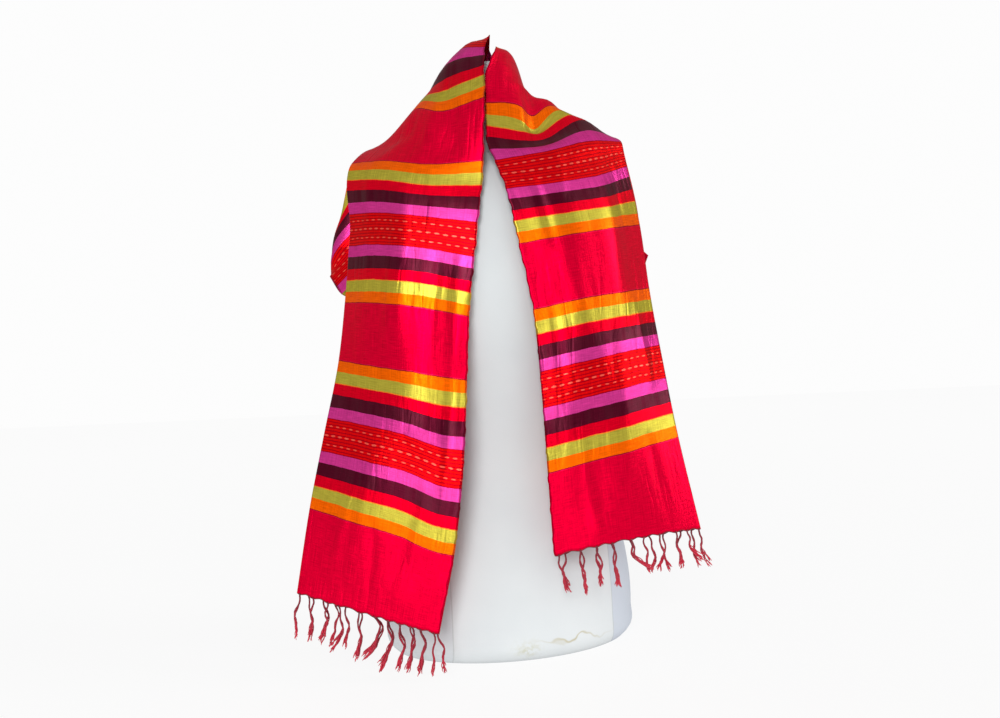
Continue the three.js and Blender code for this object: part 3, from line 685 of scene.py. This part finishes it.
# the weave, in metres
weave = {
    "firstCentre": 0.214,       # middle of the first group of stripes along the cloth
    "repeat": 0.288,
    "plainStart": 0.103,        # the last stretches are plain
    "plainEnd": 1.477,
    # distance from the middle of a group in mm, and the colour from there out
    "stripes": [
        (0, (0.70, 0.003, 0.004)),
        (22.4, (0.30, 0.0, 0.008)),
        (23.2, (0.60, 0.036, 0.24)),
        (39, (0.072, 0.002, 0.012)),
        (57, (0.66, 0.0, 0.014)),
        (72.2, (0.85, 0.20, 0.02)),
        (73.2, (0.43, 0.362, 0.04)),
        (89, (0.88, 0.12, 0.001)),
        (103.6, (0.28, 0.0, 0.010)),
        (104.7, (0.68, 0.01, 0.07)),
        (105.6, (0.66, 0.0, 0.026)),
    ],
    "waver": 0.0022,            # the stripes' edges waver by a thread or two
    "waverNoise": (55, 3),
    "dash": (0.84, 0.115, 0.075),
    "dashShare": 0.85,
    "dashRepeat": 0.0108,
    "dashRow": 0.0129,          # the outer rows' distance from the middle one
    "dashStagger": 0.45,
    "middleDash": (0.31, 0.00125),    # half length as a share of the repeat, half height
    "outerDash": (0.27, 0.0009),
    "dashEdge": (-2.2, 2.6),
    "line": (0.36, 0.0, 0.008),
    "lineRepeat": 0.0043,
    "lineEdge": (-3, -1.2),
    "lineBand": 0.0215,         # the fine lines end this far from the middle
    "cord": (0.16, 0.0, 0.01),  # darker threads along each selvedge
    "cordWidth": 0.0022,
    "cordShare": 0.45,
}


def stripes(satin, s, place):
    # the stripes' colour, and the distance from the middle of a group of them
    waver = satin.noise(place, *weave["waverNoise"])
    shift = satin.calc("MULTIPLY_ADD", waver, weave["waver"], -weave["waver"] / 2)
    held = satin.calc("MAXIMUM", s, weave["plainStart"])
    held = satin.calc("MINIMUM", held, weave["plainEnd"])
    half = weave["repeat"] / 2
    along = satin.calc("ADD", satin.calc("ADD", held, shift), half - weave["firstCentre"])
    along = satin.calc("FLOORED_MODULO", along, weave["repeat"])
    distance = satin.calc("ABSOLUTE", satin.calc("SUBTRACT", along, half))
    ramp = satin.nodes.new("ShaderNodeValToRGB")
    ramp.color_ramp.interpolation = "CONSTANT"
    points = ramp.color_ramp.elements
    for k, (start, colour) in enumerate(weave["stripes"]):
        at = start * mm / half
        point = points[k] if k < len(points) else points.new(at)
        point.position = at
        point.color = colour + (1,)
    satin.feed(ramp.inputs[0], satin.calc("DIVIDE", distance, half))
    return ramp.outputs[0], distance


def dashRow(satin, away, phase, halfLength, halfHeight):
    # lens-shaped dashes, whose edges are sharpened by the caller
    run = satin.calc("ABSOLUTE", satin.calc("SUBTRACT", satin.calc("FRACT", phase), 0.5))
    run = satin.calc("POWER", satin.calc("DIVIDE", run, halfLength), 2)
    rise = satin.calc("POWER", satin.calc("DIVIDE", away, halfHeight), 2)
    return satin.calc("ADD", run, rise)


def middleBand(satin, colour, distance, w):
    # three rows of small dashes, each between fine dark lines
    across = satin.calc("DIVIDE", w, weave["dashRepeat"])
    staggered = satin.calc("ADD", across, weave["dashStagger"])
    offRow = satin.calc("SUBTRACT", distance, weave["dashRow"])
    middle = dashRow(satin, distance, across, *weave["middleDash"])
    outer = dashRow(satin, offRow, staggered, *weave["outerDash"])
    dashes = satin.sharpened(satin.calc("MINIMUM", middle, outer), *weave["dashEdge"])
    wave = satin.calc("COSINE", satin.calc("MULTIPLY", distance, 2 * math.pi / weave["lineRepeat"]))
    lines = satin.sharpened(wave, *weave["lineEdge"])
    inBand = satin.calc("LESS_THAN", distance, weave["lineBand"])
    colour = satin.mix(satin.calc("MULTIPLY", lines, inBand), colour, weave["line"])
    return satin.mix(satin.calc("MULTIPLY", dashes, weave["dashShare"]), colour, weave["dash"])


# streaks are given by their scales along and across the cloth and their detail
satinLook = {
    "warp": (30, 1400, 3),
    "weft": (1100, 60, 3),
    "threads": ((0.6, 1.4), (0.62, 1.3)),    # from this range of both to this range of shade
    "threadRelief": (0.35, 0.0004),
    "crush": (7, 46, 2),                     # small creases pressed into the cloth
    "crushTop": (0.07, 0.05),                # their height, and how softly it is reached
    "patches": (13, 11, 1),                  # where they show
    "patchEdge": (3.2, -1.3),
    "crushRelief": (1, 0.0065),
    "specular": 0.08,
    "dark": (0.048, 0.009),                  # middle and half width of a dark stripe
    "darkStreaks": (9, 80, 2),               # the dark yarn shines in upright streaks
    "darkEdge": (4.5, -1.75),
    "darkShine": (0.5, 0.12),
    "darkSheen": (0.85, 0.42, 0.52),
    "darkSheenShare": 0.5,
    "roughness": 0.3,
    "metallic": 0.55,
    "anisotropic": 0.6,
}


def scarfMaterial():
    satin = Finish("striped satin")
    look = satinLook
    place = satin.uvLayer("cloth")
    s, w, _ = satin.apart(place)
    colour, distance = stripes(satin, s, place)
    colour = middleBand(satin, colour, distance, w)
    otherSide = satin.calc("SUBTRACT", 2 * cloth["halfWidth"] * mm, w)
    cord = satin.calc("LESS_THAN", satin.calc("MINIMUM", w, otherSide), weave["cordWidth"])
    colour = satin.mix(satin.calc("MULTIPLY", cord, weave["cordShare"]), colour, weave["cord"])

    # the threads, as fine streaks along and across
    threads = satin.calc("ADD", satin.streaks(place, *look["warp"]), satin.streaks(place, *look["weft"]))
    shade = satin.nodes.new("ShaderNodeMapRange")
    for socket, value in zip(shade.inputs, (threads, *look["threads"][0], *look["threads"][1])):
        satin.feed(socket, value)
    colour = satin.mix(1.0, colour, shade.outputs[0], "MULTIPLY")

    # small pressed creases that run down the cloth and come in patches
    crush = satin.calc("ABSOLUTE", satin.calc("SUBTRACT", satin.streaks(place, *look["crush"]), 0.5))
    crush = satin.calc("SMOOTH_MIN", crush, *look["crushTop"])
    patches = satin.sharpened(satin.streaks(place, *look["patches"]), *look["patchEdge"])
    pressed = satin.relief(satin.calc("MULTIPLY", crush, patches), *look["crushRelief"])

    # the sheen takes the yarn's own colour, less so on the dark yarn
    isDark = satin.calc("COMPARE", distance, *look["dark"])
    gloss = satin.sharpened(satin.streaks(place, *look["darkStreaks"]), *look["darkEdge"])
    gloss = satin.calc("MULTIPLY_ADD", gloss, *look["darkShine"])
    paler = satin.calc("MULTIPLY", isDark, look["darkSheenShare"])
    lie = satin.nodes.new("ShaderNodeTangent")
    lie.direction_type = "UV_MAP"
    lie.uv_map = "cloth"
    satin.dress({
        "Base Color": colour,
        "Normal": satin.relief(threads, *look["threadRelief"], over=pressed),
        "Specular IOR Level": satin.calc("MULTIPLY_ADD", isDark, gloss, look["specular"]),
        "Specular Tint": satin.mix(paler, colour, look["darkSheen"]),
        "Roughness": look["roughness"],
        "Metallic": look["metallic"],
        "Anisotropic": look["anisotropic"],
        "Tangent": lie.outputs[0],
    })
    return satin.material


# a strand of the fringe, in mm
strandLook = {
    "threads": 9,
    "radius": 0.6,
    "sides": 4,
    "steps": 22,
    "taper": 0.5,               # thickness of a thread's last point, as a share
    "bundle": 0.62,             # how far the threads stand from the strand's middle at the hem
    "opened": 1.2,              # the same lower down
    "opening": (0.35, 0.95),    # from and to this share of the way down
    "stand": (0.5, 1.1),        # each thread's own share of that
    "lengths": (0.84, 1.05),    # each thread's length, as a share of the drop
    "twists": 2.6,
    "curl": 3.2,
    "curlWaves": (6, 9),
    "curlPhase": (0, 6.28),
    "curlSettles": 1.4,         # above 1, the curl ends before the tip
    "slant": 0.35,              # share of the drift that is even, the rest comes near the tip
    "lean": {"shown": -1.5, "under": 1.5},
    "fray": 1.3,
    "frayPower": 5,
    "frayDepth": 0.6,           # the fraying along y, as a share of that along x
    "overlap": 1.5,             # start above the hem
    "floor": 4,
}
# the hem thread takes its colour from the dark, painted-shade end of the thread colour
hemThread = {"radius": 0.62, "sides": 5, "step": 2.0, "sink": 0.2, "place": (0.05, 0.2)}


class Threads:
    # collects thin tubes, each point with its place along the thread and the strand's shade
    def __init__(self):
        self.points, self.faces, self.places = [], [], []

    def add(self, path, radius, sides, places):
        first = len(self.points)
        along = unit(np.gradient(path, axis=0))
        side = unit(np.cross(along, [0.3, 1, 0.2]))
        other = np.cross(along, side)
        for k, p in enumerate(path):
            size = radius * (strandLook["taper"] if k == len(path) - 1 else 1)
            for n in range(sides):
                angle = 2 * math.pi * n / sides
                reach = side[k] * math.cos(angle) + other[k] * math.sin(angle)
                self.points.append((p + size * reach) * mm)
                self.places.append(places[k])
        for k in range(len(path) - 1):
            for n in range(sides):
                a = first + k * sides + n
                b = first + k * sides + (n + 1) % sides
                self.faces.append((a, a + sides, b + sides, b))
        self.faces.append([first + n for n in range(sides)])
        self.faces.append([len(self.points) - 1 - n for n in range(sides)])


def hemPoints(end, w, layer):
    # places of the hem at these w, and the way up the cloth from there
    inwards = np.array([0, 1, 2.0])
    s = inwards if end == 0 else cloth["length"] - inwards[::-1]
    shares = np.asarray(w, float) / cloth["halfWidth"]
    row = shownGrid(s, np.repeat(shares[None, :], 3, axis=0))
    at = 0 if end == 0 else 2
    spacing = spacingAt(shares, cloth["foldRadius"]) * (layer == "under")
    return row[at] - normalsOf(row)[at] * spacing[:, None], unit(row[1] - row[at])


def addStrand(threads, root, strand, layer, rng):
    # threads twisted together, which open and fray towards the tip
    look = strandLook
    _, drop, drift, bow, _ = strand
    phase, waves = rng.uniform(*look["curlPhase"]), rng.uniform(*look["curlWaves"])
    shade = rng.random()
    t = np.linspace(0, 1, look["steps"] + 1)
    settled = np.sin(math.pi * np.minimum(1, look["curlSettles"] * t))
    curl = look["curl"] * np.sin(phase + waves * t) * settled
    middle = drift * (look["slant"] * t + (1 - look["slant"]) * t**3) + bow * np.sin(math.pi * t) + curl
    opened = look["bundle"] + (look["opened"] - look["bundle"]) * fade(t, *look["opening"])
    for n in range(look["threads"]):
        away = rng.uniform(*look["stand"]) * opened
        frayX = rng.gauss(0, 1) * look["fray"] * t ** look["frayPower"]
        frayY = rng.gauss(0, 1) * look["fray"] * t ** look["frayPower"]
        length = drop * rng.uniform(*look["lengths"])
        angle = 2 * math.pi * (n / look["threads"] + look["twists"] * t)
        x = middle + away * np.cos(angle) + frayX
        y = look["lean"][layer] * t + away * np.sin(angle) + look["frayDepth"] * frayY
        z = look["overlap"] - (length + look["overlap"]) * t
        path = root + np.stack([x, y, z], axis=-1)
        path[:, 2] = np.maximum(path[:, 2], look["floor"])
        threads.add(path, look["radius"], look["sides"], [(share, shade) for share in t])


def makeFringe(name, end, strands, seed):
    rng = random.Random(seed)
    threads = Threads()
    for layer in ("shown", "under"):
        own = [row for row in strands if row[4] in (layer, "both")]
        roots, _ = hemPoints(end, [row[0] for row in own], layer)
        for root, strand in zip(roots, own):
            addStrand(threads, root, strand, layer, rng)

        # the last weft thread, drawn from strand to strand
        w = np.arange(1, cloth["halfWidth"] - 1, hemThread["step"])
        line, up = hemPoints(end, w, layer)
        line = line + up * (scallop(w, strands, layer) - hemThread["sink"])[:, None]
        threads.add(line, hemThread["radius"], hemThread["sides"], [hemThread["place"]] * len(line))
    return newPiece(name, threads.points, threads.faces, "place", threads.places)


yarn = {
    # painted shade: the threads are painted darkest at the hem, where they bunch under the cloth, and paler
    # to the tips
    "hemShade": (0.13, 0.001, 0.012),
    "atTip": (0.56, 0.005, 0.035),
    "mottle": 140,
    "mottleTints": ((0.6, 0.6, 0.65), (1.25, 1.25, 1.2)),
    "roughness": 0.5,
}


def threadMaterial():
    thread = Finish("loose thread")
    down, _, _ = thread.apart(thread.uvLayer("place"))
    # painted shade darkens each thread towards the hem
    colour = thread.mix(down, yarn["hemShade"], yarn["atTip"])
    tint = thread.mix(thread.noise(thread.inObject(), yarn["mottle"]), *yarn["mottleTints"])
    thread.dress({"Base Color": thread.mix(1.0, colour, tint, "MULTIPLY"), "Roughness": yarn["roughness"]})
    return thread.material


scarf = makeScarf()
scarf.data.materials.append(scarfMaterial())
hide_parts(*[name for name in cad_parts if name.startswith("scarf_")])
print("scarf:", len(scarf.data.polygons), "faces")

thread = threadMaterial()
fringes = []
for name, node, end, strands, seed in (
    ("fringe_threads_left", "fringe_left", 0, leftStrands, 4),
    ("fringe_threads_right", "fringe_right", cloth["length"], rightStrands, 9),
):
    piece = makeFringe(name, end, strands, seed)
    piece.data.materials.append(thread)
    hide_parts(node)
    fringes.append(piece)
print("fringes:", sum(len(piece.data.polygons) for piece in fringes), "faces")

form = makeForm()
form.data.materials.append(jerseyMaterial())
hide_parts("dress_form")
for piece in (scarf, form, *fringes):
    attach(piece, "root")
print("pieces placed")

viewpoint = {"distance": 1.25, "height": 0.38, "lens": 32.83, "film": 36, "roll": math.radians(2.5)}
camera = bpy.data.objects.new("camera", bpy.data.cameras.new("camera"))
camera.location = (0, -viewpoint["distance"], viewpoint["height"])
camera.rotation_euler = (math.pi / 2, viewpoint["roll"], 0)
camera.data.lens = viewpoint["lens"]
camera.data.sensor_width = viewpoint["film"]
bpy.context.collection.objects.link(camera)
bpy.context.scene.camera = camera

paleFloor = {
    "reach": 6,
    "mottle": 3,
    "tints": ((0.10, 0.10, 0.10), (0.12, 0.12, 0.12)),
    "glow": 0.87,            # it is lit from within, so that it is as pale as the backdrop
    "roughness": 0.9,
}


def makeFloor():
    reach = paleFloor["reach"]
    corners = [(-reach, -reach, 0), (reach, -reach, 0), (reach, reach, 0), (-reach, reach, 0)]
    mesh = bpy.data.meshes.new("floor")
    mesh.from_pydata(corners, [], [(0, 1, 2, 3)])
    piece = bpy.data.objects.new("floor", mesh)
    bpy.context.collection.objects.link(piece)
    paint = Finish("pale floor")
    paint.dress({
        "Base Color": paint.mix(paint.noise(None, paleFloor["mottle"]), *paleFloor["tints"]),
        "Roughness": paleFloor["roughness"],
        "Specular IOR Level": 0,
        "Emission Color": (1.0, 1.0, 1.0),
        "Emission Strength": paleFloor["glow"],
    })
    mesh.materials.append(paint.material)
    return piece


floor = makeFloor()

studio = {
    "fill": 0.5,
    "backdrop": 0.98,
    # name, where the light comes from, power, breadth in degrees
    "lights": [
        ("key", (-0.18, -1.0, 0.4), 2.1, 25),
        ("side", (1.0, -0.16, 0.38), 1.0, 22),
    ],
}
world = bpy.context.scene.world or bpy.data.worlds.new("studio")
bpy.context.scene.world = world
world.use_nodes = True
nodes, links = world.node_tree.nodes, world.node_tree.links
white = (1, 1, 1, 1)
fill = nodes["Background"]
fill.inputs[0].default_value = white
fill.inputs[1].default_value = studio["fill"]
backdrop = nodes.new("ShaderNodeBackground")
backdrop.inputs[0].default_value = white
backdrop.inputs[1].default_value = studio["backdrop"]
either = nodes.new("ShaderNodeMixShader")
links.new(nodes.new("ShaderNodeLightPath").outputs["Is Camera Ray"], either.inputs[0])
links.new(fill.outputs[0], either.inputs[1])
links.new(backdrop.outputs[0], either.inputs[2])
links.new(either.outputs[0], nodes["World Output"].inputs[0])

for name, source, power, angle in studio["lights"]:
    light = bpy.data.lights.new(name, "SUN")
    light.energy = power
    light.angle = math.radians(angle)
    lamp = bpy.data.objects.new(name, light)
    lamp.rotation_euler = Vector(source).to_track_quat("Z", "Y").to_euler()
    bpy.context.collection.objects.link(lamp)
bpy.context.scene.view_settings.view_transform = "Standard"
print("stage set")
